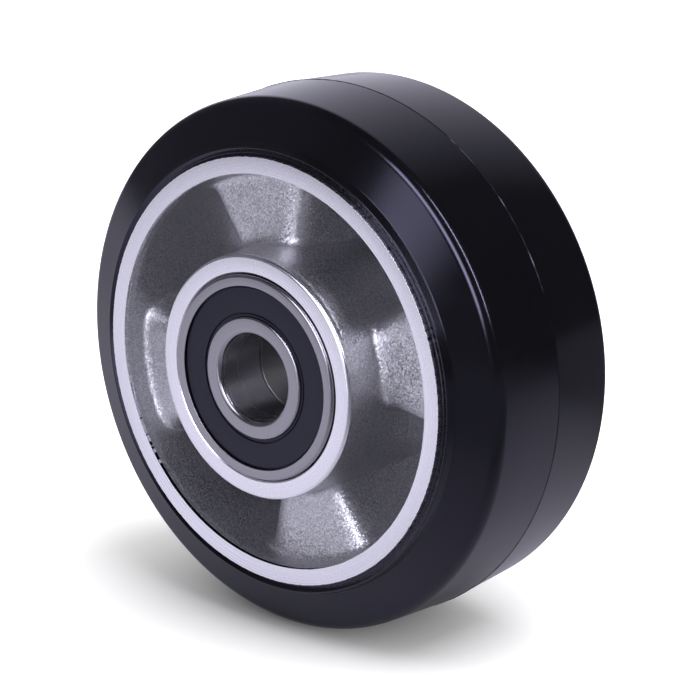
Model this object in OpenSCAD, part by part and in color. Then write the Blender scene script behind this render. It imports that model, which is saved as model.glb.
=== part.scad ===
// Trolley wheel: an elastic rubber tyre on a die-cast aluminium centre, which runs on two sealed
// deep groove ball bearings with a spacer tube between them. All lengths are in millimetres.
// The wheel spins about Y, its front face looks along -Y, and the origin is its middle.

/* [Wheel] */
// Tread diameter at the parting line
wheel_d = 125; // [115:1:150]
// Width across the two rim faces
rim_w = 50; // [46:1:56]
// Length of the hub over the bearing faces
hub_len = 60; // [58:1:70]

/* [Tyre] */
// Thickness of the rubber between the rim and the tread
tyre_wall = 13.5; // [11:0.5:15]
// Fall of each half of the tread towards its shoulder, in degrees
tread_draft = 3.6; // [1:0.2:6]
// Radius that rounds the shoulder
shoulder_round = 3; // [1.5:0.1:4]
// Depth of the shoulder's corner below the rim face
shoulder_drop = 5.8; // [4:0.1:8]
// Depth of the side wall's inner end below the rim face
sidewall_drop = 2.6; // [1.6:0.1:3.4]
// Depth of the rubber lip's face below the rim face
lip_drop = 0.4; // [0.1:0.1:0.8]
// Width of the rubber lip's face beside the rim
lip_w = 2.1; // [1.5:0.1:3]
// Widening of the lip from its face down to its foot
lip_flare = 0.5; // [0.2:0.1:1]
// Radius that rounds the lip's edge
lip_round = 0.4; // [0.2:0.05:0.6]

/* [Wheel centre] */
// Thickness of the rim at its face
rim_wall = 3.8; // [3:0.1:4.6]
// Slope of the rim's inner wall, in degrees
rim_draft = 5; // [2:0.5:7]
// Thickness of the hub round the bearings at its face
hub_wall = 4.5; // [3.5:0.1:6]
// Slope of the hub's side, in degrees
hub_draft = 1.5; // [0.5:0.5:3]
// Chamfer on the machined edges of the rim and the hub
edge_chamfer = 0.4; // [0.2:0.1:0.8]
// Number of raised pads on each face
pad_count = 4; // [3:1:5]
// Angle of the first front pad above the horizontal, in degrees
pad_turn = 12; // [0:1:60]
// Depth of the pads below the rim face
pad_drop = 6; // [4:0.5:8]
// Thickness of the metal in a pad
pad_wall = 5.5; // [4:0.5:7]
// Thickness of the steep walls between front and rear pads
web_wall = 3; // [2:0.25:4]
// Slope of those walls from the spin axis, in degrees
web_draft = 12; // [8:0.5:14]
// Fillet where a pad meets the rim and the hub
pad_fillet = 1.5; // [0.5:0.25:2.5]

/* [Bearings] */
// Bore of the inner rings
bearing_bore = 20; // [15:1:22]
// Outside diameter of the outer rings
bearing_od = 47; // [46:0.5:49]
// Width of each bearing
bearing_w = 14; // [13:0.5:16]
// Chamfer on the corners of both rings
ring_chamfer = 0.75; // [0.4:0.05:1]
// Diameter of each ball
ball_d = 7.9375; // [7:0.0625:8.5]
// Radius of the race grooves as a share of the ball diameter
race_share = 0.52; // [0.51:0.005:0.54]
// Clearance between a ball and each race
ball_gap = 0.03; // [0.01:0.01:0.05]
// Thickness of the inner rings at their shoulders
inner_ring_wall = 4; // [3.5:0.1:4.3]
// Thickness of the outer rings at their shoulders
outer_ring_wall = 3.9; // [3.5:0.1:4.2]
// Depth of the recess that holds a seal in an outer ring's shoulder
seal_seat_depth = 1.4; // [0.9:0.1:1.8]
// Distance the bearings stand out of the hub's faces
bearing_stand = 0.6; // [0.2:0.1:1.2]
// Radial gap between the outer rings and their seats
seat_gap = 0.01; // [0:0.01:0.05]
// Chamfer at the mouth of each bearing seat
seat_chamfer = 0.8; // [0.4:0.1:1.2]
// Height of the shoulder behind each bearing seat
seat_shoulder = 2.8; // [2:0.1:3.4]

/* [Seals] */
// Thickness of a seal's plate
seal_plate = 0.9; // [0.6:0.1:1.1]
// Depth of a seal's face below the ring's face
seal_drop = 0.5; // [0.3:0.1:0.8]
// Thickness of the bead that holds a seal in its recess
seal_bead = 1.4; // [1.2:0.1:1.6]
// Width of that bead
bead_w = 0.9; // [0.6:0.1:1.2]
// Radial gap between the seal's lip and the inner ring
lip_gap = 0.05; // [0.02:0.01:0.1]
// Radial gap between the seal and its recess
bead_gap = 0.02; // [0:0.01:0.05]
// Width of the thinned band beside the lip
thin_band_w = 1; // [0.6:0.1:1.4]
// Depth of the thinned band
thin_band_depth = 0.35; // [0.2:0.05:0.5]

/* [Cages] */
// Sheet thickness of the pressed cage halves
cage_sheet = 0.7; // [0.5:0.05:0.75]
// Radial width of the cage band
cage_w = 2.6; // [2:0.1:3]
// Clearance between a ball and its cage pocket
pocket_gap = 0.12; // [0.08:0.01:0.15]
// Diameter of a rivet's shank
rivet_d = 1.1; // [0.9:0.1:1.2]
// Diameter of a rivet's heads
rivet_head_d = 1.9; // [1.6:0.1:2]
// Height of each rivet head
rivet_head_h = 0.4; // [0.3:0.05:0.5]
// Gap between a rivet's shank and its hole
rivet_gap = 0.01; // [0:0.01:0.03]

/* [Spacer tube] */
// Gap between the spacer's bore and the axle
spacer_gap = 0.3; // [0.1:0.1:0.6]
// Wall of the spacer
spacer_wall = 2.2; // [1.5:0.1:2.6]
// Chamfer on the spacer's ends
spacer_chamfer = 0.3; // [0.1:0.1:0.5]

/* [Hidden] */

$fn = 96;

// Balls in each bearing
ball_count = 8;
// Overlap that keeps cutters and fillets clear of the faces that they end on
over = 0.2;

wheel_r = wheel_d / 2;
rim_r = wheel_r - tyre_wall;
rim_face = rim_w / 2;
rim_in_r = rim_r - rim_wall;
hub_r = bearing_od / 2 + hub_wall;
bearing_face = hub_len / 2;
hub_face = bearing_face - bearing_stand;
bearing_mid = bearing_face - bearing_w / 2;
seat_floor = bearing_face - bearing_w;
seat_r = bearing_od / 2 + seat_gap;
pad_face = rim_face - pad_drop;
pocket_floor = pad_wall - pad_face;
pad_pitch = 360 / pad_count;

shoulder_z = rim_face - shoulder_drop;
sidewall_z = rim_face - sidewall_drop;
lip_z = rim_face - lip_drop;
shoulder_r = wheel_r - shoulder_z * tan(tread_draft);
lip_r = rim_r + lip_w;

ball_r = ball_d / 2;
pitch_r = (bearing_bore + bearing_od) / 4;
inner_land_r = bearing_bore / 2 + inner_ring_wall;
outer_land_r = bearing_od / 2 - outer_ring_wall;
seal_seat_r = outer_land_r + seal_seat_depth;
race_r = race_share * ball_d;
inner_race_r = pitch_r - ball_r - ball_gap + race_r;
outer_race_r = pitch_r + ball_r + ball_gap - race_r;
ball_step = 360 / ball_count;
seal_face = bearing_w / 2 - seal_drop;
seal_seat_w = seal_drop + seal_bead;
spacer_bore_r = bearing_bore / 2 + spacer_gap;

// Radius of the rim's inner wall and of the hub's side at a height above the middle
function rim_wall_r(z) = rim_in_r - (rim_face - z) * tan(rim_draft);
function hub_side_r(z) = hub_r + (hub_face - z) * tan(hub_draft);

// Radii where the pads meet the rim and the hub
rim_foot_r = rim_wall_r(pad_face);
hub_foot_r = hub_side_r(pad_face);

function unit(v) = v / norm(v);

// The patch between a corner and the arc that rounds it. Added, it fills an inner corner, and cut
// away, it rounds an outer one. The corner's two sides run from p towards a and b.
module corner_patch(p, a, b, r) {
    u = unit(a - p);
    v = unit(b - p);
    half = acos(u * v) / 2;
    reach = r / tan(half);
    middle = unit(u + v);
    centre = p + middle * r / sin(half);
    end_a = p + u * reach;
    end_b = p + v * reach;
    difference() {
        polygon([
            p - middle * over,
            end_a + unit(end_a - centre) * over,
            centre,
            end_b + unit(end_b - centre) * over
        ]);
        translate(centre) circle(r);
    }
}

// Turns a shape that was drawn about Z into the wheel's frame
module upright() {
    rotate([90, 0, 0]) children();
}

// Carries a shape to the front bearing or mirrors it to the rear one
module at_bearing(side) {
    mirror([0, 0, side < 0 ? 1 : 0])
        translate([0, 0, bearing_mid])
            children();
}

module tyre_half_profile() {
    crown = [wheel_r, 0];
    shoulder = [shoulder_r, shoulder_z];
    foot = [lip_r + lip_flare, sidewall_z];
    lip_edge = [lip_r, lip_z];
    difference() {
        polygon([[rim_r, 0], crown, shoulder, foot, lip_edge, [rim_r, lip_z]]);
        corner_patch(shoulder, crown, foot, shoulder_round);
        corner_patch(lip_edge, foot, [rim_r, lip_z], lip_round);
    }
}

module tyre() {
    color([0.11, 0.11, 0.13])
        rotate_extrude() {
            tyre_half_profile();
            mirror([0, 1]) tyre_half_profile();
        }
}

// The hub and the rim, which are two rings until the web joins them
module rings_half_profile() {
    rim_edge = [rim_wall_r(rim_face - edge_chamfer), rim_face - edge_chamfer];
    hub_edge = [hub_side_r(hub_face - edge_chamfer), hub_face - edge_chamfer];
    polygon([
        [rim_foot_r, 0],
        [rim_r, 0],
        [rim_r, rim_face],
        [rim_edge[0] + edge_chamfer, rim_face],
        rim_edge,
        [rim_foot_r, pad_face]
    ]);
    polygon([
        [seat_r - seat_shoulder, 0],
        [hub_foot_r, 0],
        [hub_foot_r, pad_face],
        hub_edge,
        [hub_edge[0] - edge_chamfer, hub_face],
        [seat_r + seat_chamfer, hub_face],
        [seat_r, hub_face - seat_chamfer],
        [seat_r, seat_floor],
        [seat_r - seat_shoulder, seat_floor]
    ]);
}

// The web before its pockets are taken out: a thick disc with a fillet at its foot on each ring
module web_half_profile() {
    pad_out = [rim_foot_r, pad_face];
    pad_in = [hub_foot_r, pad_face];
    translate([hub_foot_r - 2 * over, 0])
        square([rim_foot_r - hub_foot_r + 4 * over, pad_face]);
    corner_patch(pad_out, [rim_in_r, rim_face], pad_in, pad_fillet);
    corner_patch(pad_in, [hub_r, hub_face], pad_out, pad_fillet);
}

// All that lies on the pocket's side of one sloped web wall, as a block as large as the wheel
module flank_block() {
    rotate([0, 0, pad_pitch / 4])
        rotate([-web_draft, 0, 0])
            translate([-wheel_d, -2 * wheel_d - web_wall / 2, -wheel_d])
                cube(2 * wheel_d);
}

// One deep pocket, open to the front along +X, between two web walls, the hub and the rim
module pocket() {
    top = rim_face + over;
    intersection() {
        rotate_extrude()
            polygon([
                [hub_side_r(pocket_floor), pocket_floor],
                [rim_wall_r(pocket_floor), pocket_floor],
                [rim_foot_r + over, pad_face],
                [rim_foot_r + 3 * over, top],
                [hub_foot_r - 3 * over, top],
                [hub_foot_r - over, pad_face]
            ]);
        flank_block();
        mirror([0, 1, 0]) flank_block();
    }
}

module front_pockets() {
    for (i = [0:pad_count - 1])
        rotate([0, 0, pad_turn + (i + 0.5) * pad_pitch])
            pocket();
}

// The folded web: raised pads on one face are the floors of the other face's pockets
module web() {
    difference() {
        rotate_extrude() {
            web_half_profile();
            mirror([0, 1]) web_half_profile();
        }
        front_pockets();
        mirror([0, 0, 1])
            rotate([0, 0, pad_pitch / 2])
                front_pockets();
    }
}

module wheel_centre() {
    color([0.72, 0.71, 0.76])
        union() {
            rotate_extrude() {
                rings_half_profile();
                mirror([0, 1]) rings_half_profile();
            }
            web();
        }
}

module spacer_tube() {
    out_r = spacer_bore_r + spacer_wall;
    color([0.55, 0.55, 0.57])
        rotate_extrude()
            polygon([
                [spacer_bore_r, -seat_floor],
                [out_r - spacer_chamfer, -seat_floor],
                [out_r, -seat_floor + spacer_chamfer],
                [out_r, seat_floor - spacer_chamfer],
                [out_r - spacer_chamfer, seat_floor],
                [spacer_bore_r, seat_floor]
            ]);
}

module outer_ring() {
    out_r = bearing_od / 2;
    face = bearing_w / 2;
    seat_z = face - seal_seat_w;
    color([0.66, 0.65, 0.69])
        rotate_extrude()
            difference() {
                polygon([
                    [outer_land_r, -seat_z], [seal_seat_r, -seat_z], [seal_seat_r, -face],
                    [out_r - ring_chamfer, -face], [out_r, -face + ring_chamfer],
                    [out_r, face - ring_chamfer], [out_r - ring_chamfer, face],
                    [seal_seat_r, face], [seal_seat_r, seat_z], [outer_land_r, seat_z]
                ]);
                translate([outer_race_r, 0]) circle(race_r);
            }
}

module inner_ring() {
    bore_r = bearing_bore / 2;
    face = bearing_w / 2;
    color([0.66, 0.65, 0.69])
        rotate_extrude()
            difference() {
                polygon([
                    [bore_r, -face + ring_chamfer], [bore_r + ring_chamfer, -face],
                    [inner_land_r, -face], [inner_land_r, face],
                    [bore_r + ring_chamfer, face], [bore_r, face - ring_chamfer]
                ]);
                translate([inner_race_r, 0]) circle(race_r);
            }
}

// The seal on the bearing's outer side: a plate with a bead in the outer ring's recess
module seal() {
    in_r = inner_land_r + lip_gap;
    out_r = seal_seat_r - bead_gap;
    back = seal_face - seal_plate;
    band_r = in_r + thin_band_w;
    color([0.15, 0.15, 0.19])
        rotate_extrude()
            polygon([
                [in_r, back], [out_r - bead_w, back], [out_r - bead_w, seal_face - seal_bead],
                [out_r, seal_face - seal_bead], [out_r, seal_face], [band_r, seal_face],
                [band_r, seal_face - thin_band_depth], [in_r, seal_face - thin_band_depth]
            ]);
}

module ball_centres(first = 0) {
    for (i = [0:ball_count - 1])
        rotate([0, 0, (i + first) * ball_step])
            translate([pitch_r, 0, 0])
                children();
}

// The cage half on the bearing's outer side: a flat band pressed round the balls
module cage_half() {
    dome_r = ball_r + pocket_gap + cage_sheet;
    color([0.62, 0.6, 0.55])
        difference() {
            intersection() {
                union() {
                    cylinder(r = wheel_r, h = cage_sheet);
                    ball_centres() sphere(dome_r);
                }
                rotate_extrude()
                    translate([pitch_r - cage_w / 2, 0])
                        square([cage_w, dome_r + over]);
            }
            ball_centres() sphere(ball_r + pocket_gap);
            ball_centres(0.5) cylinder(d = rivet_d + 2 * rivet_gap, h = 3 * cage_sheet, center = true);
        }
}

module rivets() {
    color([0.7, 0.68, 0.62])
        ball_centres(0.5)
            union() {
                cylinder(d = rivet_d, h = 2 * cage_sheet + rivet_head_h, center = true);
                translate([0, 0, cage_sheet])
                    cylinder(d = rivet_head_d, h = rivet_head_h);
                translate([0, 0, -cage_sheet - rivet_head_h])
                    cylinder(d = rivet_head_d, h = rivet_head_h);
            }
}

module ball(number) {
    color([0.8, 0.8, 0.82])
        rotate([0, 0, (number - 1) * ball_step])
            translate([pitch_r, 0, 0])
                sphere(ball_r);
}

upright() tyre();
upright() wheel_centre();
upright() spacer_tube();

for (side = [1, -1]) {
    place = side > 0 ? "front" : "rear";
    upright() at_bearing(side) outer_ring();
    upright() at_bearing(side) inner_ring();
    upright() at_bearing(side) seal();
    upright() at_bearing(side) mirror([0, 0, 1]) seal();
    upright() at_bearing(side) cage_half();
    upright() at_bearing(side) mirror([0, 0, 1]) cage_half();
    upright() at_bearing(side) rivets();
    for (number = [1:ball_count])
        upright() at_bearing(side) ball(number);
}
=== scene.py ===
import math

import bmesh
import bpy
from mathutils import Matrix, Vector, noise


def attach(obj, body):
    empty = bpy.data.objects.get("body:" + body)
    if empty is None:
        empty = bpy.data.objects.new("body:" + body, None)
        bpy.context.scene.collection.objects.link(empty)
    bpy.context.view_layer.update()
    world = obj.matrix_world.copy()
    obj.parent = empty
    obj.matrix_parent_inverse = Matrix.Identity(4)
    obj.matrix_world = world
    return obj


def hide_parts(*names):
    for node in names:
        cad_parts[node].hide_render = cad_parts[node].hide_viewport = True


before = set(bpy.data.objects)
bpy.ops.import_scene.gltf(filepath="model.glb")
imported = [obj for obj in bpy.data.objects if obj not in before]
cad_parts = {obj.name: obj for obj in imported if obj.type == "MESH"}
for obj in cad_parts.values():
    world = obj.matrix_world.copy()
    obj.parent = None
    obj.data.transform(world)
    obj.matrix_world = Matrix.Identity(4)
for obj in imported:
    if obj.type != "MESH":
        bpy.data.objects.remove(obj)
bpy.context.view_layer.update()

mm = 0.001
scene = bpy.context.scene
scene.view_settings.view_transform = "Standard"
print("stage 1: frame loaded,", len(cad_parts), "nodes")


# small helpers
def linearColour(code):
    # sRGB hex to the linear colour that Blender's sockets take
    parts = [int(code[i:i + 2], 16) / 255 for i in (1, 3, 5)]
    return [c / 12.92 if c <= 0.04045 else ((c + 0.055) / 1.055) ** 2.4 for c in parts] + [1.0]


def addNode(tree, kind, settings=None, *values, **named):
    # values go to the inputs in order, named ones to the input of that name; a node stands for its first output
    node = tree.nodes.new(kind)
    for key, value in (settings or {}).items():
        setattr(node, key, value)
    pairs = list(enumerate(values)) + [(key.replace("_", " "), value) for key, value in named.items()]
    for key, value in pairs:
        if value is None:
            continue
        if isinstance(value, bpy.types.Node):
            value = value.outputs[0]
        if isinstance(value, bpy.types.NodeSocket):
            tree.links.new(value, node.inputs[key])
        else:
            node.inputs[key].default_value = value
    return node


def newMaterial(name):
    material = bpy.data.materials.new(name)
    material.use_nodes = True
    material.node_tree.nodes.clear()
    return material, material.node_tree


def linkObject(name, mesh, *materials):
    obj = bpy.data.objects.new(name, mesh)
    scene.collection.objects.link(obj)
    for material in materials:
        mesh.materials.append(material)
    return obj


def placePiece(obj, body, slot, *nodes):
    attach(obj, body)
    if nodes:
        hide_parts(*nodes)
    print("piece", obj.name, len(obj.data.polygons), "faces")


def roundedProfile(corners, fine=9.0):
    # corners are (radius, height, rounding) in mm round a closed outline; each rounding becomes an arc
    points = []
    count = len(corners)
    for i, (r, z, rounding) in enumerate(corners):
        here = Vector((r, z))
        if rounding <= 0:
            points.append(here)
            continue
        before = Vector(corners[i - 1][:2]) - here
        after = Vector(corners[(i + 1) % count][:2]) - here
        u, v = before.normalized(), after.normalized()
        half = math.acos(max(-1, min(1, u.dot(v)))) / 2
        reach = min(rounding / math.tan(half), 0.49 * before.length, 0.49 * after.length)
        radius = reach * math.tan(half)
        centre = here + (u + v).normalized() * (radius / math.sin(half))
        start, end = here + u * reach - centre, here + v * reach - centre
        turn = start.angle_signed(end)
        steps = max(2, int(abs(math.degrees(turn)) / fine) + 1)
        base = math.atan2(start.y, start.x)
        for k in range(steps + 1):
            a = base - turn * k / steps
            points.append(centre + Vector((math.cos(a), math.sin(a))) * radius)
    return points


def turnProfile(name, points, steps, shape=None):
    # turns a closed outline about Y; its height runs towards the front face, which looks along -Y
    mesh = bpy.data.meshes.new(name)
    vertices, faces = [], []
    count = len(points)
    for i in range(steps):
        angle = 2 * math.pi * i / steps
        for j, p in enumerate(points):
            r, z = (p.x, p.y) if shape is None else shape(j, p, angle)
            vertices.append((r * mm * math.cos(angle), -z * mm, r * mm * math.sin(angle)))
    for i in range(steps):
        a, b = i * count, (i + 1) % steps * count
        for j in range(count):
            k = (j + 1) % count
            faces.append((a + j, a + k, b + k, b + j))
    mesh.from_pydata(vertices, [], faces)
    work = bmesh.new()
    work.from_mesh(mesh)
    bmesh.ops.recalc_face_normals(work, faces=work.faces)
    work.to_mesh(mesh)
    work.free()
    mesh.shade_smooth()
    mesh.set_sharp_from_angle(angle=math.radians(40))
    return mesh


def mirrored(corners):
    # the outline's front half and its copy on the rear side
    return corners + [(r, -z, rounding) for r, z, rounding in reversed(corners)]


# camera: seen from the front right, a little above
view = {"lens": 143.29, "azimuth": 41.09, "elevation": 16.84, "distance": 0.6388, "shift": (0.0124, -0.0012)}
azimuth, elevation = math.radians(view["azimuth"]), math.radians(view["elevation"])
back = Vector((math.sin(azimuth) * math.cos(elevation), -math.cos(azimuth) * math.cos(elevation), math.sin(elevation)))
cameraData = bpy.data.cameras.new("camera")
cameraData.lens = view["lens"]
cameraData.sensor_width = 36
cameraData.shift_x, cameraData.shift_y = view["shift"]
cameraData.clip_end = 20
camera = bpy.data.objects.new("camera", cameraData)
camera.location = back * view["distance"]
camera.rotation_euler = back.to_track_quat("Z", "Y").to_euler()
scene.collection.objects.link(camera)
scene.camera = camera
print("stage 2: camera set")


# materials
def mouldedRubber():
    # elastic solid rubber, press moulded: nearly black, a satin skin with a faint bloom that lights up as grey-blue
    look = {"colour": "#0c0c0e", "bloom": "#111115", "roughness": (0.13, 0.2), "bloomSize": 22 * mm, "skinSize": 0.5 * mm}
    material, tree = newMaterial("moulded rubber")
    place = addNode(tree, "ShaderNodeTexCoord").outputs["Object"]
    bloom = addNode(tree, "ShaderNodeTexNoise", None, Vector=place, Scale=1 / look["bloomSize"], Detail=5.0, Roughness=0.6)
    colour = addNode(tree, "ShaderNodeMix", {"data_type": "RGBA"})
    tree.links.new(bloom.outputs["Fac"], colour.inputs[0])
    colour.inputs[6].default_value = linearColour(look["colour"])
    colour.inputs[7].default_value = linearColour(look["bloom"])
    rough = addNode(tree, "ShaderNodeMapRange", None, bloom, 0.3, 0.7, look["roughness"][0], look["roughness"][1])
    skin = addNode(tree, "ShaderNodeTexNoise", None, Vector=place, Scale=1 / look["skinSize"], Detail=3.0)
    bump = addNode(tree, "ShaderNodeBump", None, Strength=0.08, Distance=0.05 * mm, Height=skin)
    shader = addNode(tree, "ShaderNodeBsdfPrincipled", None, Base_Color=colour.outputs[2], Roughness=rough,
                     IOR=1.52, Specular_Tint=(0.75, 0.74, 1.0, 1), Normal=bump)
    addNode(tree, "ShaderNodeOutputMaterial", None, shader)
    return material


def blastedAluminium():
    # die-cast aluminium, shot blasted: grey metal dented into tiny facets, lighter and darker and each tilted its own
    # way, which gives it an even, fine sparkle; the real dents are near 0.1 mm, drawn at 0.24 mm so that they show
    look = {"colour": "#f2f2f5", "facet": 0.24 * mm, "shade": (0.46, 0.86), "facetTilt": 0.36, "patch": 9 * mm,
            "roughness": (0.38, 0.44)}
    material, tree = newMaterial("blasted cast aluminium")
    place = addNode(tree, "ShaderNodeTexCoord").outputs["Object"]
    patch = addNode(tree, "ShaderNodeTexNoise", None, Vector=place, Scale=1 / look["patch"], Detail=4.0)
    rough = addNode(tree, "ShaderNodeMapRange", None, patch, 0.3, 0.7, look["roughness"][0], look["roughness"][1])
    dents = addNode(tree, "ShaderNodeTexVoronoi", None, Vector=place, Scale=1 / look["facet"])
    tilt = addNode(tree, "ShaderNodeVectorMath", {"operation": "SUBTRACT"}, dents.outputs["Color"], (0.5, 0.5, 0.5))
    tilted = addNode(tree, "ShaderNodeVectorMath", {"operation": "SCALE"}, tilt, Scale=look["facetTilt"])
    faced = addNode(tree, "ShaderNodeVectorMath", {"operation": "ADD"}, tilted,
                    addNode(tree, "ShaderNodeNewGeometry").outputs["Normal"])
    facet = addNode(tree, "ShaderNodeVectorMath", {"operation": "NORMALIZE"}, faced)
    shade = addNode(tree, "ShaderNodeMapRange", None, addNode(tree, "ShaderNodeSeparateXYZ", None, dents.outputs["Color"]),
                    0.0, 1.0, *look["shade"])
    colour = addNode(tree, "ShaderNodeVectorMath", {"operation": "SCALE"}, linearColour(look["colour"])[:3], Scale=shade)
    shader = addNode(tree, "ShaderNodeBsdfPrincipled", None, Base_Color=colour, Metallic=1.0, Roughness=rough, Normal=facet)
    addNode(tree, "ShaderNodeOutputMaterial", None, shader)
    return material


def turnedAluminium():
    # aluminium faced on a lathe: bright, with fine rings round the axis that stretch the light
    look = {"colour": "#efeef3", "ringPitch": 0.22 * mm, "depth": 0.004 * mm, "roughness": (0.2, 0.32)}
    material, tree = newMaterial("turned aluminium")
    place = addNode(tree, "ShaderNodeTexCoord").outputs["Object"]
    axes = addNode(tree, "ShaderNodeSeparateXYZ", None, place)
    radius = addNode(tree, "ShaderNodeVectorMath", {"operation": "LENGTH"},
                     addNode(tree, "ShaderNodeCombineXYZ", None, axes.outputs["X"], 0.0, axes.outputs["Z"]))
    rings = addNode(tree, "ShaderNodeTexNoise", {"noise_dimensions": "1D"}, W=radius.outputs["Value"],
                    Scale=1 / look["ringPitch"], Detail=2.0, Roughness=0.7)
    rough = addNode(tree, "ShaderNodeMapRange", None, rings, 0.3, 0.7, look["roughness"][0], look["roughness"][1])
    bump = addNode(tree, "ShaderNodeBump", None, Strength=1.0, Distance=look["depth"], Height=rings)
    shader = addNode(tree, "ShaderNodeBsdfPrincipled", None, Base_Color=linearColour(look["colour"]), Metallic=1.0,
                     Roughness=rough, Normal=bump)
    addNode(tree, "ShaderNodeOutputMaterial", None, shader)
    return material


def steelFinish(name, colour, roughness, ringPitch, depth, stretch=0.0):
    # bearing and tube steels differ only in polish and in how fine their grinding marks are; marks round a bore
    # stretch each light along it
    material, tree = newMaterial(name)
    place = addNode(tree, "ShaderNodeTexCoord").outputs["Object"]
    axes = addNode(tree, "ShaderNodeSeparateXYZ", None, place)
    radius = addNode(tree, "ShaderNodeVectorMath", {"operation": "LENGTH"},
                     addNode(tree, "ShaderNodeCombineXYZ", None, axes.outputs["X"], 0.0, axes.outputs["Z"]))
    along = addNode(tree, "ShaderNodeMath", {"operation": "ADD"}, radius.outputs["Value"], axes.outputs["Y"])
    marks = addNode(tree, "ShaderNodeTexNoise", {"noise_dimensions": "1D"}, W=along, Scale=1 / ringPitch, Detail=2.0)
    rough = addNode(tree, "ShaderNodeMapRange", None, marks, 0.3, 0.7, roughness[0], roughness[1])
    bump = addNode(tree, "ShaderNodeBump", None, Strength=1.0, Distance=depth, Height=marks)
    shader = addNode(tree, "ShaderNodeBsdfPrincipled", None, Base_Color=linearColour(colour), Metallic=1.0,
                     Roughness=rough, Anisotropic=stretch, Anisotropic_Rotation=0.25, Normal=bump)
    if stretch:
        tree.links.new(addNode(tree, "ShaderNodeTangent", {"direction_type": "RADIAL", "axis": "Y"}).outputs[0],
                       shader.inputs["Tangent"])
    addNode(tree, "ShaderNodeOutputMaterial", None, shader)
    return material


def sealRubber():
    # nitrile rubber of a bearing seal: smooth moulded, blue-black, with a soft sheen
    look = {"colour": "#111118", "roughness": (0.42, 0.5), "skinSize": 0.8 * mm}
    material, tree = newMaterial("nitrile seal rubber")
    place = addNode(tree, "ShaderNodeTexCoord").outputs["Object"]
    skin = addNode(tree, "ShaderNodeTexNoise", None, Vector=place, Scale=1 / look["skinSize"], Detail=4.0)
    rough = addNode(tree, "ShaderNodeMapRange", None, skin, 0.3, 0.7, look["roughness"][0], look["roughness"][1])
    bump = addNode(tree, "ShaderNodeBump", None, Strength=0.15, Distance=0.02 * mm, Height=skin)
    shader = addNode(tree, "ShaderNodeBsdfPrincipled", None, Base_Color=linearColour(look["colour"]), Roughness=rough,
                     IOR=1.52, Specular_Tint=(0.7, 0.7, 1.0, 1), Normal=bump)
    addNode(tree, "ShaderNodeOutputMaterial", None, shader)
    return material


rubber = mouldedRubber()
castMetal = blastedAluminium()
turnedMetal = turnedAluminium()
groundSteel = steelFinish("ground bearing steel", "#9c9a9f", (0.2, 0.3), 0.18 * mm, 0.003 * mm)
ballSteel = steelFinish("lapped ball steel", "#dcdce0", (0.05, 0.09), 0.5 * mm, 0.0005 * mm)
cageSteel = steelFinish("pressed sheet steel", "#b5afa2", (0.3, 0.42), 0.6 * mm, 0.004 * mm)
boreSteel = steelFinish("honed bearing bore", "#bebcc0", (0.25, 0.28), 1.5 * mm, 0.00004 * mm, 1.0)
tubeSteel = steelFinish("drawn steel tube", "#a4a6a3", (0.3, 0.38), 0.3 * mm, 0.001 * mm, 0.9)
sealSkin = sealRubber()
print("stage 3: materials made")


# tyre
tyre = {"bondRadius": 49.0, "grooveZ": 23.9, "crest": (51.0, 24.5), "crestRound": 0.35, "foot": (51.7, 22.4),
        "shoulder": (61.292, 19.2), "shoulderRound": 3.0,
        "crownRadius": 62.3, "seamHeight": 0.12, "seamHalf": 0.28, "steps": 480}


def makeTyre():
    t = tyre
    crown = t["crownRadius"]
    half = [
        (t["bondRadius"], t["grooveZ"], 0),
        (t["bondRadius"] + 0.7, t["grooveZ"] - 0.15, 0.5),
        (*t["crest"], t["crestRound"]),
        (*t["foot"], 0.4),
        (*t["shoulder"], t["shoulderRound"]),
        (crown, t["seamHalf"], 0),
        (crown - 0.05, t["seamHalf"] * 0.8, 0),
        (crown + t["seamHeight"], t["seamHalf"] * 0.35, 0),
    ]
    points = roundedProfile(mirrored(half), fine=6)

    def shape(j, p, angle):
        # the mould's parting line wanders a little
        ring = Vector((math.cos(angle), math.sin(angle), 0))
        r, z = p.x, p.y
        if abs(z) < 0.2:
            r += 0.05 * (noise.noise(ring * 40) - 0.5)
        return r, z

    mesh = turnProfile("tyre rubber", points, t["steps"], shape)
    obj = linkObject("tyreRubber", mesh, rubber)
    placePiece(obj, "wheel", "tyre_rubber", "tyre")


makeTyre()
print("stage 4: tyre made")


# wheel centre: machined rim band and hub sleeve
centre = {"rimRadius": 49.0, "rimWall": 3.8, "rimFace": 25.0, "rimDraft": 5.0, "hubRadius": 28.0, "hubFace": 29.4,
          "hubDraft": 1.5, "edge": 1.0, "undercut": 0.4, "slot": (0.12, 0.8), "seat": 23.51, "seatFloor": 16.0,
          "seatChamfer": 0.3, "seatGap": (0.25, 1.6), "seatShoulder": 2.8,
          "machined": 1.6, "rimMachined": 1.7, "nick": 0.16, "steps": 320, "rimSteps": 900}


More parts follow.
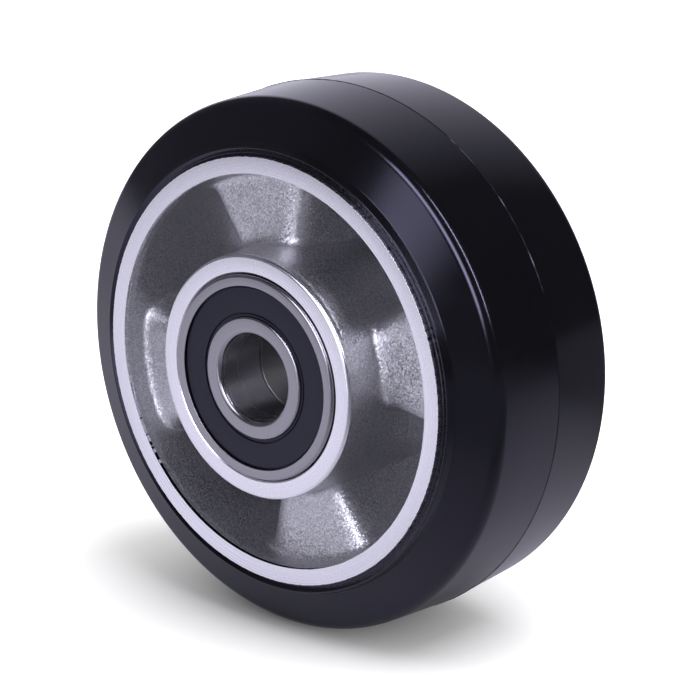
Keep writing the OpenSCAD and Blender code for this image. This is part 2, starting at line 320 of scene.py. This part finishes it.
def makeMachinedRings():
    c = centre
    z = c["rimFace"] - c["rimMachined"]
    wall = c["rimRadius"] - c["rimWall"]
    wallLow = wall - c["rimMachined"] * math.tan(math.radians(c["rimDraft"]))
    rim = [
        (wall + 1.4, z - 0.3, 0),
        (wallLow + 0.3, z - 0.3, 0),
        (wallLow, z, 0),
        (wall, c["rimFace"] - c["slot"][1] - 0.1, 0),
        (wall + c["undercut"], c["rimFace"] - c["slot"][1], 0),
        (wall + c["undercut"], c["rimFace"] - c["slot"][0], 0),
        (wall, c["rimFace"] - c["slot"][0] + 0.05, 0),
        (wall, c["rimFace"], 0.06),
        (c["rimRadius"], c["rimFace"], 0.05),
    ]

    def nicked(j, p, angle):
        # trimming the rubber left small nicks in the rim face's outer edge, and casting a few at its inner edge
        ring = Vector((math.cos(angle), math.sin(angle), 0))
        r, z = p.x, p.y
        if r > c["rimRadius"] - 0.3 and abs(z) > c["rimFace"] - 0.3:
            bite = max(0, noise.noise(ring * 60)) + 0.6 * max(0, noise.noise(ring * 130 + Vector((0, 0, 7))))
            r -= c["nick"] * bite
        elif abs(r - wall - c["undercut"]) < 0.02 and abs(z) > c["rimFace"] - 1:
            r -= 0.5 * c["undercut"] * max(0, noise.noise(ring * 9 + Vector((0, 0, 5))) + 0.1)
        elif abs(z) > c["rimFace"] - 0.3:
            bite = max(0, noise.noise(ring * 14 + Vector((0, 0, 3))) - 0.35) + 0.5 * max(0, noise.noise(ring * 90) - 0.3)
            r += c["nick"] * bite
        return r, z

    obj = linkObject("rimBand", turnProfile("rim band", roundedProfile(mirrored(rim)), c["rimSteps"], nicked),
                     turnedMetal, castMetal, rubber)
    for face in obj.data.polygons:
        # inside the face's edge the rim is as cast; the undercut's faces, most of all low down, take the black rubber
        # as painted shade along the line under the face's edge
        x, height, up = face.center / mm
        if math.hypot(x, up) < wall + 0.8 * c["undercut"] and abs(height) < c["rimFace"] - c["slot"][0]:
            face.material_index = 1
        ring = Vector((x, up, 0)).normalized()
        low = min(-0.55 - ring.y, 0.5 - ring.x)
        # painted shade: black rubber on the undercut's faces, under the face's edge
        if c["slot"][0] < c["rimFace"] - abs(height) < c["slot"][1] + 0.1 and 0.22 * noise.noise(ring * 11) + 0.4 * noise.noise(ring * 50) < low:
            face.material_index = 2
    placePiece(obj, "wheel", "cast_aluminium", "wheel_centre")

    z = c["hubFace"] - c["machined"]
    side = c["hubRadius"] + c["machined"] * math.tan(math.radians(c["hubDraft"]))
    hub = [
        (c["seat"] - c["seatShoulder"], c["seatFloor"], 0),
        (c["seat"], c["seatFloor"], 0),
        (c["seat"], c["hubFace"] - c["seatGap"][1], 0),
        (c["seat"] + c["seatGap"][0], c["hubFace"] - c["seatGap"][1] + 0.2, 0),
        (c["seat"] + c["seatGap"][0], c["hubFace"] - c["seatChamfer"], 0),
        (c["seat"] + c["seatGap"][0] + c["seatChamfer"], c["hubFace"], 0.1),
        (c["hubRadius"], c["hubFace"], c["edge"]),
        (side, z, 0),
        (side - 0.6, z - 0.3, 0),
    ]
    obj = linkObject("hubSleeve", turnProfile("hub sleeve", roundedProfile(mirrored(hub)), c["steps"]), turnedMetal, castMetal)
    for face in obj.data.polygons:
        x, height, up = face.center / mm
        if math.hypot(x, up) > c["hubRadius"] and abs(height) < c["hubFace"] - 0.9:
            face.material_index = 1
    placePiece(obj, "wheel", "cast_aluminium", "wheel_centre")


makeMachinedRings()


# wheel centre: the cast folded web, as the zero surface of a distance field
web = {"padFace": 19.0, "pocketFloor": -13.5, "padTurn": 12.0, "wall": 3.0, "draft": 12.0, "footRound": 2.8,
       "edgeRound": 6.5, "pocketRound": 4.4, "voxel": 0.87, "adaptivity": 0.0}


def webTree():
    tree = bpy.data.node_groups.new("folded web", "GeometryNodeTree")
    face = tree.interface
    face.new_socket("Geometry", in_out="OUTPUT", socket_type="NodeSocketGeometry")
    names = ["Pad face", "Pocket floor", "Pad turn", "Wall", "Draft", "Foot round", "Edge round", "Pocket round",
             "Rim radius", "Rim face", "Rim draft", "Hub radius", "Hub face", "Hub draft", "Voxel", "Adaptivity"]
    for name in names:
        face.new_socket(name, in_out="INPUT", socket_type="NodeSocketFloat")
    face.new_socket("Material", in_out="INPUT", socket_type="NodeSocketMaterial")
    given = tree.nodes.new("NodeGroupInput").outputs

    here = addNode(tree, "GeometryNodeInputPosition")
    axes = addNode(tree, "ShaderNodeSeparateXYZ", None,
                   addNode(tree, "ShaderNodeVectorMath", {"operation": "SCALE"}, here, Scale=1000.0))
    known = {name: given[name] for name in names}
    known["x"], known["y"], known["up"] = axes.outputs["X"], axes.outputs["Y"], axes.outputs["Z"]

    # each row makes one value, in mm and degrees, from those above it
    rows = [
        ("xx", "MULTIPLY", "x", "x"),
        ("rr", "MULTIPLY_ADD", "up", "up", "xx"),
        ("r", "SQRT", "rr"),
        ("front", "MULTIPLY", "y", -1.0),
        ("angle", "ARCTAN2", "up", "x"),
        ("degrees", "DEGREES", "angle"),
        ("rimSlope", "RADIANS", "Rim draft"),
        ("rimTan", "TANGENT", "rimSlope"),
        ("hubSlope", "RADIANS", "Hub draft"),
        ("hubTan", "TANGENT", "hubSlope"),
        ("tilt", "RADIANS", "Draft"),
        ("tiltCos", "COSINE", "tilt"),
        ("tiltSin", "SINE", "tilt"),
        ("halfWall", "MULTIPLY", "Wall", 0.5),
        ("eighthCos", "COSINE", math.radians(22.5)),
        ("eighthSin", "SINE", math.radians(22.5)),
    ]
    for side, sign, turn in (("F", 1.0, 45.0), ("R", -1.0, 0.0)):
        rows += [
            (side + "z", "MULTIPLY", "front", sign),
            # angle from the middle of the nearest pocket of this side
            (side + "turned", "SUBTRACT", "degrees", "Pad turn"),
            (side + "shifted", "ADD", side + "turned", 45.0 - turn + 720.0),
            (side + "folded", "MODULO", side + "shifted", 90.0),
            (side + "centred", "SUBTRACT", side + "folded", 45.0),
            (side + "bearing", "RADIANS", side + "centred"),
            (side + "cos", "COSINE", side + "bearing"),
            (side + "sin", "SINE", side + "bearing"),
            (side + "u", "MULTIPLY", "r", side + "cos"),
            (side + "v0", "MULTIPLY", "r", side + "sin"),
            (side + "v", "ABSOLUTE", side + "v0"),
            # distance to the sloped web wall, below zero inside the pocket
            (side + "across", "MULTIPLY", side + "v", "eighthCos"),
            (side + "along", "MULTIPLY", side + "u", "eighthSin"),
            (side + "q", "SUBTRACT", side + "across", side + "along"),
            (side + "qc", "MULTIPLY_ADD", side + "q", "tiltCos", "halfWall"),
            (side + "zs", "MULTIPLY", side + "z", "tiltSin"),
            (side + "flank", "SUBTRACT", side + "qc", side + "zs"),
            (side + "floor", "SUBTRACT", "Pocket floor", side + "z"),
            (side + "pocket", "SMOOTH_MAX", side + "flank", side + "floor", "Pocket round"),
            (side + "pad", "SUBTRACT", "Pad face", side + "z"),
            (side + "open", "SMOOTH_MIN", side + "pocket", side + "pad", "Edge round"),
            # distance to the rim's inner wall and to the hub's side
            (side + "rimDrop", "SUBTRACT", "Rim face", side + "z"),
            (side + "rimIn", "MULTIPLY", side + "rimDrop", "rimTan"),
            (side + "rimAt", "SUBTRACT", "Rim radius", side + "rimIn"),
            (side + "rimFar", "SUBTRACT", "r", side + "rimAt"),
            (side + "hubDrop", "SUBTRACT", "Hub face", side + "z"),
            (side + "hubOut", "MULTIPLY_ADD", side + "hubDrop", "hubTan", "Hub radius"),
            (side + "hubFar", "SUBTRACT", side + "hubOut", "r"),
            (side + "a", "SMOOTH_MAX", side + "open", side + "rimFar", "Foot round"),
            (side + "air", "SMOOTH_MAX", side + "a", side + "hubFar", "Foot round"),
            (side + "metal", "MULTIPLY", side + "air", -1.0),
        ]
    rows += [
        ("metal", "MAXIMUM", "Fmetal", "Rmetal"),
        ("height", "ABSOLUTE", "front"),
        ("rimTop", "SUBTRACT", "Rim face", 1.05),
        ("hubTop", "SUBTRACT", "Hub face", 1.03),
        ("middle", "GREATER_THAN", "r", 36.0),
        ("topDrop", "SUBTRACT", "rimTop", "hubTop"),
        ("top", "MULTIPLY_ADD", "middle", "topDrop", "hubTop"),
        ("overTop", "SUBTRACT", "height", "top"),
        ("outside", "SUBTRACT", "r", 47.6),
        ("inside", "SUBTRACT", 26.2, "r"),
        ("ringed", "MAXIMUM", "outside", "inside"),
        ("body", "MAXIMUM", "ringed", "overTop"),
        ("solid", "MAXIMUM", "metal", "body"),
        ("density", "MULTIPLY", "solid", -1.0),
    ]
    for name, operation, *values in rows:
        values = [known[value] if isinstance(value, str) else value for value in values]
        known[name] = addNode(tree, "ShaderNodeMath", {"operation": operation}, *values).outputs[0]

    half = (0.0485, 0.0295, 0.0485)
    cells = [int(round(2 * h / mm / web["voxel"])) for h in half]
    cube = addNode(tree, "GeometryNodeVolumeCube", None, Density=known["density"], Background=-2.0,
                   Min=[-h for h in half], Max=list(half), Resolution_X=cells[0], Resolution_Y=cells[1],
                   Resolution_Z=cells[2])
    skin = addNode(tree, "GeometryNodeVolumeToMesh", {"resolution_mode": "GRID"}, cube, Threshold=0.0,
                   Adaptivity=given["Adaptivity"])
    smooth = addNode(tree, "GeometryNodeSetShadeSmooth", None, skin)
    real = addNode(tree, "GeometryNodeRealizeInstances", None, smooth)
    painted = addNode(tree, "GeometryNodeSetMaterial", None, real, Material=given["Material"])
    addNode(tree, "NodeGroupOutput", None, painted)
    return tree


def makeWeb():
    host = linkObject("webHost", bpy.data.meshes.new("web host"))
    tree = webTree()
    modifier = host.modifiers.new("folded web", "NODES")
    modifier.node_group = tree
    values = {"Pad face": web["padFace"], "Pocket floor": web["pocketFloor"], "Pad turn": web["padTurn"],
              "Wall": web["wall"], "Draft": web["draft"], "Foot round": web["footRound"],
              "Edge round": web["edgeRound"], "Pocket round": web["pocketRound"],
              "Rim radius": centre["rimRadius"] - centre["rimWall"], "Rim face": centre["rimFace"],
              "Rim draft": centre["rimDraft"], "Hub radius": centre["hubRadius"], "Hub face": centre["hubFace"],
              "Hub draft": centre["hubDraft"], "Voxel": web["voxel"], "Adaptivity": web["adaptivity"],
              "Material": castMetal}
    for item in tree.interface.items_tree:
        if item.in_out == "INPUT":
            modifier[item.identifier] = values[item.name]
    host.update_tag()
    bpy.context.view_layer.update()
    mesh = bpy.data.meshes.new_from_object(host.evaluated_get(bpy.context.evaluated_depsgraph_get()))
    bpy.data.objects.remove(host)
    mesh.materials.clear()
    # its cut edges lie under the machined rings, so they don't bend the shading of the walls beside them
    mesh.set_sharp_from_angle(angle=math.radians(35))
    obj = linkObject("castWeb", mesh, castMetal)
    placePiece(obj, "wheel", "cast_aluminium", "wheel_centre")


makeWeb()
print("stage 5: wheel centre made")


# bearings and spacer tube
bearing = {"bore": 20.0, "outside": 47.0, "width": 14.0, "middle": 23.0, "ringRound": 0.7, "innerLand": 14.0,
           "outerLand": 19.6, "sealSeat": 21.0, "sealDrop": 0.5, "plate": 0.9, "bead": 1.4, "pitch": 16.75,
           "ball": 7.9375, "race": 4.1275, "steps": 256}


def raceArc(radius, land, inward):
    # the ball groove's points where it crosses a ring's shoulder, from front to rear
    b = bearing
    half = math.acos(max(-1, min(1, abs(land - radius) / b["race"])))
    points = []
    for k in range(13):
        a = half - 2 * half * k / 12
        points.append((radius + inward * b["race"] * math.cos(a), b["race"] * math.sin(a), 0))
    return points


def makeBearings():
    b = bearing
    face, seat = b["width"] / 2, b["width"] / 2 - b["sealDrop"] - b["bead"]
    ballRadius = b["ball"] / 2 + 0.03
    outer = [
        (b["outside"] / 2, face, b["ringRound"]), (b["sealSeat"], face, 0.12), (b["sealSeat"], seat, 0),
        (b["outerLand"], seat, 0),
        *raceArc(b["pitch"] + ballRadius - b["race"], b["outerLand"], 1),
        (b["outerLand"], -seat, 0), (b["sealSeat"], -seat, 0), (b["sealSeat"], -face, 0.12),
        (b["outside"] / 2, -face, b["ringRound"]),
    ]
    inner = [
        (b["bore"] / 2, face, 1.2), (b["innerLand"], face, 0.5),
        *raceArc(b["pitch"] - ballRadius + b["race"], b["innerLand"], -1),
        (b["innerLand"], -face, 0.5), (b["bore"] / 2, -face, 1.2),
    ]
    top = face - b["sealDrop"]
    inR, outR = b["innerLand"] + 0.05, b["sealSeat"] - 0.02
    seal = [
        (inR, top - b["plate"], 0), (inR, top - 0.1, 0.05), (inR + 0.5, top - 0.1, 0.05), (inR + 0.6, top - 0.4, 0),
        (inR + 0.8, top - 0.4, 0), (inR + 0.9, top, 0.1),
        (outR - 0.35, top, 0.15), (outR - 0.35, top - 0.5, 0), (outR, top - 0.5, 0),
        (outR, top - b["bead"], 0.1), (outR - 0.9, top - b["bead"], 0.1),
        (outR - 0.9, top - b["plate"], 0),
    ]
    for name, sign in (("front", 1), ("rear", -1)):
        def placed(corners):
            return [(r, sign * (z + b["middle"]), rounding) for r, z, rounding in corners]
        obj = linkObject(name + "OuterRing", turnProfile("outer ring", roundedProfile(placed(outer)), b["steps"]), groundSteel)
        placePiece(obj, "wheel", "ring_steel", name + "_outer_ring")
        obj = linkObject(name + "InnerRing", turnProfile("inner ring", roundedProfile(placed(inner)), b["steps"]),
                         groundSteel, boreSteel)
        for face in obj.data.polygons:
            if math.hypot(face.center.x, face.center.z) < (b["bore"] / 2 + 0.02) * mm:
                face.material_index = 1
        placePiece(obj, "axle_side", "ring_steel", name + "_inner_ring")
        obj = linkObject(name + "Seal", turnProfile("seal", roundedProfile(placed(seal)), b["steps"]), sealSkin)
        placePiece(obj, "wheel", "seal_rubber", name + "_outside_seal")


makeBearings()

spacer = {"bore": 10.3, "outside": 12.5, "half": 16.0, "round": 0.3, "steps": 128}


def makeSpacer():
    s = spacer
    half = [(s["bore"], s["half"], 0.1), (s["outside"], s["half"], s["round"])]
    obj = linkObject("spacerTube", turnProfile("spacer tube", roundedProfile(mirrored(half)), s["steps"]), tubeSteel)
    placePiece(obj, "axle_side", "spacer_steel", "spacer_tube")


makeSpacer()

for name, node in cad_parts.items():
    finish = ballSteel if "_ball_" in name else cageSteel if "cage" in name or "rivets" in name else None
    if "inside_seal" in name:
        finish = sealSkin
    if finish:
        node.data.materials.clear()
        node.data.materials.append(finish)
print("stage 6: bearings and spacer made")


# studio: floor, world, lamps
studio = {"floorZ": -0.0625, "floorHalf": 4.0, "paper": "#f2f2f4", "glow": 0.08, "worldLevel": 0.45,
          "shadowAt": (-0.01, 0.0, -0.0625), "shadowShape": (0.85, 1.0, 1.0), "shadowReach": (0.012, 0.1),
          "cool": (0.95, 0.93, 1.1), "gain": 1.2, "frontRight": ((0.8, -0.6, 0), -0.016, 0.15, 1.0, 0.17),
          "front": ((0, -1, 0), 0.2, 0.65, 1.0, 0.4), "near": ((0, -1, 0), 0.08, 0.17, 0.78, 1.0),
          "left": ((-0.9, 0.44, 0), -0.015, 0.09, 1.1, 0.73),
          "farLeft": ((-0.5, 0.85, 0), 0.0, 0.08, 1.0, 1.24), "backRight": ((-0.6, 0.8, 0), -0.02, 0.05, 0.0, 0.85), "backLeft": (-0.03, 0.03),
          "drape": 0.03, "greyDrape": 0.14, "drapeSize": 3.0, "rearLight": (-0.8, 0.22, 1.15),
          "strip": ((-0.001, -0.194, -0.0624), (-0.001, -0.194, 0.13), 0.04, 2.5),
          "frontLine": ((0.87, -1.2, 0.2), (-0.12, -1.02, 1.12), 0.34, 8.5),
          "rightLine": ((1.4, 0.03, 0.43), (0.55, -0.15, 1.38), 0.08, 21.0),
          "lampPower": 62.0, "lampSize": 2.0, "lampAt": (1.0, -0.1, 2.7)}


def glossOnly(obj):
    # a card of the studio that only shows in reflections
    obj.visible_camera = False
    obj.visible_diffuse = False
    obj.visible_shadow = False
    obj.visible_transmission = False


def seenDirectly(tree):
    # one for camera, glossy and transmission rays, so that the pale background also shows in the metal
    rays = addNode(tree, "ShaderNodeLightPath")
    mirror = addNode(tree, "ShaderNodeMath", {"operation": "MAXIMUM"}, rays.outputs["Is Glossy Ray"],
                     rays.outputs["Is Transmission Ray"])
    return addNode(tree, "ShaderNodeMath", {"operation": "MAXIMUM"}, rays.outputs["Is Camera Ray"], mirror), rays


def makeFloor():
    # white paper lit by the lamps; in reflections its colour is tinted cool and painted darker in some directions and
    # lighter in others, darkest towards the front right, the far front and the rear right, a painted falloff of light
    # that the metal and the rubber mirror
    material, tree = newMaterial("pale studio paper")
    seen, rays = seenDirectly(tree)
    mirrored = rays.outputs["Is Glossy Ray"]
    place = addNode(tree, "ShaderNodeTexCoord").outputs["Object"]
    axes = addNode(tree, "ShaderNodeSeparateXYZ", None, place)
    # painted falloff: each ramp paints a change of brightness along one direction of the reflected paper
    parts = []
    for key in ("backRight", "frontRight", "front", "near", "left", "farLeft"):
        turn, *ramp = studio[key]
        across = addNode(tree, "ShaderNodeVectorMath", {"operation": "DOT_PRODUCT"}, place, turn)
        parts.append(addNode(tree, "ShaderNodeMapRange", None, across.outputs["Value"], *ramp))
    paintedRamps = parts[1]
    for part in parts[2:]:
        paintedRamps = addNode(tree, "ShaderNodeMath", {"operation": "MULTIPLY"}, paintedRamps, part)
    rightHalf = addNode(tree, "ShaderNodeMapRange", None, axes.outputs["X"], *studio["backLeft"], 0.0, 1.0)
    behind = addNode(tree, "ShaderNodeMath", {"operation": "MULTIPLY"}, parts[0], rightHalf)
    paintedRearRightLevel = addNode(tree, "ShaderNodeMath", {"operation": "SUBTRACT"}, 1.0, behind)
    paintedFalloff = addNode(tree, "ShaderNodeMath", {"operation": "MULTIPLY"}, paintedRamps, paintedRearRightLevel)
    # glossy rays see the paper's colour times the painted falloff and the cool tint; the other rays see it plain
    level = addNode(tree, "ShaderNodeMix", {"data_type": "FLOAT"}, mirrored, None, 1.0, paintedFalloff)
    cool = addNode(tree, "ShaderNodeMix", {"data_type": "RGBA"}, mirrored)
    cool.inputs[6].default_value = (1, 1, 1, 1)
    cool.inputs[7].default_value = (*[part * studio["gain"] for part in studio["cool"]], 1)
    tint = addNode(tree, "ShaderNodeVectorMath", {"operation": "SCALE"}, cool.outputs[2], Scale=level)
    paperColour = addNode(tree, "ShaderNodeMix", {"data_type": "RGBA", "blend_type": "MULTIPLY"}, 1.0)
    paperColour.inputs[6].default_value = linearColour(studio["paper"])
    tree.links.new(tint.outputs[0], paperColour.inputs[7])
    paper = addNode(tree, "ShaderNodeBsdfDiffuse", None, Color=paperColour.outputs[2])
    # the paper's painted glow keeps the wheel's shadow near it and rises to plain white further out; in reflections it
    # is a faint even glow under the painted falloff
    offset = addNode(tree, "ShaderNodeVectorMath", {"operation": "SUBTRACT"}, place, studio["shadowAt"])
    shaped = addNode(tree, "ShaderNodeVectorMath", {"operation": "MULTIPLY"}, offset, studio["shadowShape"])
    out = addNode(tree, "ShaderNodeVectorMath", {"operation": "LENGTH"}, shaped)
    near, far = studio["shadowReach"]
    white = addNode(tree, "ShaderNodeMapRange", None, out.outputs["Value"], near, far, 0.0, 1.0)
    white = addNode(tree, "ShaderNodeMix", {"data_type": "FLOAT"}, mirrored, None, white, studio["glow"])
    glowLevel = addNode(tree, "ShaderNodeMath", {"operation": "MULTIPLY"}, level, white)
    glow = addNode(tree, "ShaderNodeEmission", None, Color=(1, 1, 1, 1), Strength=glowLevel)
    both = addNode(tree, "ShaderNodeAddShader", None, paper, glow)
    addNode(tree, "ShaderNodeOutputMaterial", None, addNode(tree, "ShaderNodeMixShader", None, seen, paper, both))
    half, z = studio["floorHalf"], studio["floorZ"]
    mesh = bpy.data.meshes.new("floor")
    mesh.from_pydata([(-half, -half, z), (half, -half, z), (half, half, z), (-half, half, z)], [], [(0, 1, 2, 3)])
    linkObject("floor", mesh, material)


def makeWorld():
    world = bpy.data.worlds.new("studio")
    world.use_nodes = True
    tree = world.node_tree
    tree.nodes.clear()
    seen, rays = seenDirectly(tree)
    plain = addNode(tree, "ShaderNodeBackground", None, Color=(1, 1, 1, 1), Strength=studio["worldLevel"])
    white = addNode(tree, "ShaderNodeBackground", None, Color=(1, 1, 1, 1), Strength=1.0)
    mixed = addNode(tree, "ShaderNodeMixShader", None, seen, plain, white)
    addNode(tree, "ShaderNodeOutputWorld", None, mixed)
    scene.world = world


def makeDrape():
    # cloth all round the set above table height, which glows and only shows in reflections: painted light from the rear
    # left that fades out towards the right, a little painted light at the front left, and a glow that is nearly black
    # elsewhere
    size = studio["drapeSize"]
    rings, steps = 18, 72
    vertices, faces = [], []
    for i in range(rings + 1):
        height = math.radians(-1 + 91 * i / rings)
        for j in range(steps):
            turn = 2 * math.pi * j / steps
            vertices.append((size * math.cos(height) * math.cos(turn), size * math.cos(height) * math.sin(turn),
                             studio["floorZ"] + size * math.sin(height)))
    for i in range(rings):
        for j in range(steps):
            k = (j + 1) % steps
            faces.append((i * steps + j, i * steps + k, (i + 1) * steps + k, (i + 1) * steps + j))
    mesh = bpy.data.meshes.new("drape")
    mesh.from_pydata(vertices, [], faces)
    material, tree = newMaterial("glowing studio drape")
    place = addNode(tree, "ShaderNodeTexCoord").outputs["Object"]
    axes = addNode(tree, "ShaderNodeSeparateXYZ", None, addNode(tree, "ShaderNodeVectorMath", {"operation": "NORMALIZE"}, place))
    # painted light on the cloth: a glow from the rear left fading towards the right, and a grey glow at the front left
    rear = addNode(tree, "ShaderNodeMapRange", {"interpolation_type": "SMOOTHSTEP"}, axes.outputs["Y"], 0.3, 0.5, 0.0, 1.0)
    left, right, level = studio["rearLight"]
    sweep = addNode(tree, "ShaderNodeMapRange", None, axes.outputs["X"], left, right, level, 0.0)
    rearLight = addNode(tree, "ShaderNodeMath", {"operation": "MULTIPLY"}, rear, sweep)
    frontLeft = addNode(tree, "ShaderNodeMapRange", {"interpolation_type": "SMOOTHSTEP"}, axes.outputs["X"], -0.6, -0.4,
                        studio["greyDrape"], studio["drape"])
    strength = addNode(tree, "ShaderNodeMath", {"operation": "MAXIMUM"}, rearLight, frontLeft)
    glow = addNode(tree, "ShaderNodeEmission", None, Color=(*studio["cool"], 1), Strength=strength)
    addNode(tree, "ShaderNodeOutputMaterial", None, glow)
    glossOnly(linkObject("drape", mesh, material))


def makeSlimLight(name, start, end, half, level):
    # a slim light that only shows in reflections, brightest along its middle and fading out to its edges and ends
    start, end = Vector(start), Vector(end)
    along, middle = (end - start) / 2, (start + end) / 2
    side = along.cross(middle).normalized() * half
    material, tree = newMaterial(name + " light")
    place = addNode(tree, "ShaderNodeTexCoord").outputs["Object"]
    offset = addNode(tree, "ShaderNodeVectorMath", {"operation": "SUBTRACT"}, place, list(middle))
    strength = level
    for reach, solid in ((side, 0.2), (along, 0.75)):
        out = addNode(tree, "ShaderNodeVectorMath", {"operation": "DOT_PRODUCT"}, offset, list(reach / reach.length_squared))
        out = addNode(tree, "ShaderNodeMath", {"operation": "ABSOLUTE"}, out.outputs["Value"])
        fade = addNode(tree, "ShaderNodeMapRange", {"interpolation_type": "SMOOTHSTEP"}, out, solid, 1.0, 1.0, 0.0)
        strength = addNode(tree, "ShaderNodeMath", {"operation": "MULTIPLY"}, fade, strength)
    glow = addNode(tree, "ShaderNodeEmission", None, Color=(*studio["cool"], 1), Strength=strength)
    addNode(tree, "ShaderNodeOutputMaterial", None, glow)
    mesh = bpy.data.meshes.new(name)
    mesh.from_pydata([middle - along - side, middle - along + side, middle + along + side, middle + along - side], [],
                     [(0, 1, 2, 3)])
    glossOnly(linkObject(name, mesh, material))


def makeLamp():
    lamp = bpy.data.lights.new("key lamp", "AREA")
    lamp.size = studio["lampSize"]
    lamp.energy = studio["lampPower"]
    obj = bpy.data.objects.new("key lamp", lamp)
    obj.location = studio["lampAt"]
    obj.rotation_euler = Vector(studio["lampAt"]).to_track_quat("Z", "Y").to_euler()
    obj.visible_glossy = False
    scene.collection.objects.link(obj)


makeFloor()
makeWorld()
makeDrape()
for name in ("strip", "frontLine", "rightLine"):
    makeSlimLight(name, *studio[name])
makeLamp()
print("stage 7: studio made")
